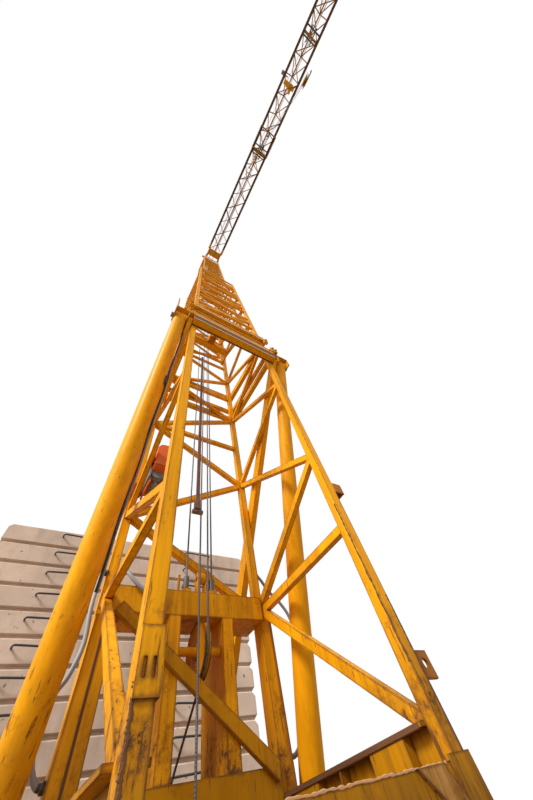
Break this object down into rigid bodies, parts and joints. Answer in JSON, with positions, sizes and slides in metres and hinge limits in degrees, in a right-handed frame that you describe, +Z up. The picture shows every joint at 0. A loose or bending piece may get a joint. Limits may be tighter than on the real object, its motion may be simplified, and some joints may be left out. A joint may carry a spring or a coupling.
{
  "type": "tower crane",
  "caption": "Self-erecting tower crane: telescoping lattice mast held by round and flat struts on a slewing platform with stacked concrete ballast, and a guyed lattice jib with trolley and hook",
  "frame": {"origin": "on the slewing axis at ground level", "axes": "+Z up, +Y back towards the ballast, the jib points along -Y, +X to the right seen from the front of the jib looking back along +Y"},
  "size_m": [4.72, 25.53, 24.165],
  "materials": {
    "chassis_paint": "worn satin paint",
    "bare_steel": "dull steel with brown rust",
    "platform_paint": "worn satin paint",
    "machine_grey": "satin grey paint",
    "concrete": "rough beige-grey concrete",
    "mast_paint": "worn orange-yellow paint with rust",
    "collar_paint": "worn paint with light rubbed edges",
    "beam_paint": "dirty worn paint",
    "strut_paint": "satin paint with dark scuffs",
    "sheave_paint": "worn satin paint",
    "hood_paint": "satin orange-red paint",
    "rope_steel": "dull wire rope",
    "inner_paint": "worn orange-yellow paint",
    "jib_paint": "satin paint, brown in shade",
    "trolley_paint": "worn satin paint"
  },
  "bodies": {
    "undercarriage": {"chassis_frame": "chassis_paint", "outrigger_arms": "chassis_paint", "jack_spindles": "bare_steel", "foot_plates": "bare_steel", "slewing_ring_lower": "bare_steel"},
    "superstructure": {"slewing_ring_upper": "bare_steel", "platform_frame": "platform_paint", "hoist_winch": "machine_grey", "control_cabinet": "platform_paint", "ballast_blocks": "concrete", "mast_left_side": "mast_paint", "mast_right_side": "mast_paint", "mast_rear_bracing": "mast_paint", "mast_front_bracing": "mast_paint", "mast_collar": "collar_paint", "mast_guide_frame": "mast_paint", "rear_crossbeam": "beam_paint", "sheave_posts": "mast_paint", "rope_sheave": "sheave_paint", "base_diagonal": "mast_paint", "strut_tubes": "strut_paint", "rear_struts": "strut_paint", "strut_pins": "bare_steel", "telescope_motor": "machine_grey", "motor_hood": "hood_paint", "mast_ropes": "rope_steel", "front_rope": "rope_steel", "winch_rope": "rope_steel", "rear_guy_lower": "rope_steel"},
    "inner_mast": {"inner_left_side": "inner_paint", "inner_right_side": "inner_paint", "inner_face_bracing": "inner_paint", "telescope_block": "inner_paint", "tower_head": "inner_paint", "head_sheaves": "sheave_paint", "jib_root_pins": "bare_steel", "jib_root_section": "jib_paint", "jib_middle_sections": "jib_paint", "jib_tip_section": "jib_paint", "jib_ropes": "rope_steel", "rear_guy_strut": "inner_paint", "front_guy_strut": "inner_paint", "guy_rods": "bare_steel"},
    "trolley": {"trolley_frame": "trolley_paint", "trolley_wheels": "bare_steel", "trolley_rope": "rope_steel", "hoist_falls": "rope_steel"},
    "hook": {"hook_block": "trolley_paint", "hook_sheave": "sheave_paint", "hook": "bare_steel", "hook_rope": "rope_steel"}
  },
  "joints": [
    {"name": "slew", "type": "hinge", "parent": "undercarriage", "child": "superstructure", "pos_m": [0, 0, 0.985], "axis": [0, 0, 1], "continuous": true},
    {"name": "mast_telescope", "type": "slide", "parent": "superstructure", "child": "inner_mast", "axis": [0, 0, 1], "range_m": [-3, 0], "deforming": ["mast_ropes", "front_rope", "rear_guy_lower"]},
    {"name": "trolley_travel", "type": "slide", "parent": "inner_mast", "child": "trolley", "axis": [0, -1, 0], "range_m": [-4.4, 14.35]},
    {"name": "hook_hoist", "type": "slide", "parent": "trolley", "child": "hook", "axis": [0, 0, 1], "range_m": [-10, 7], "deforming": ["hoist_falls"]}
  ]
}
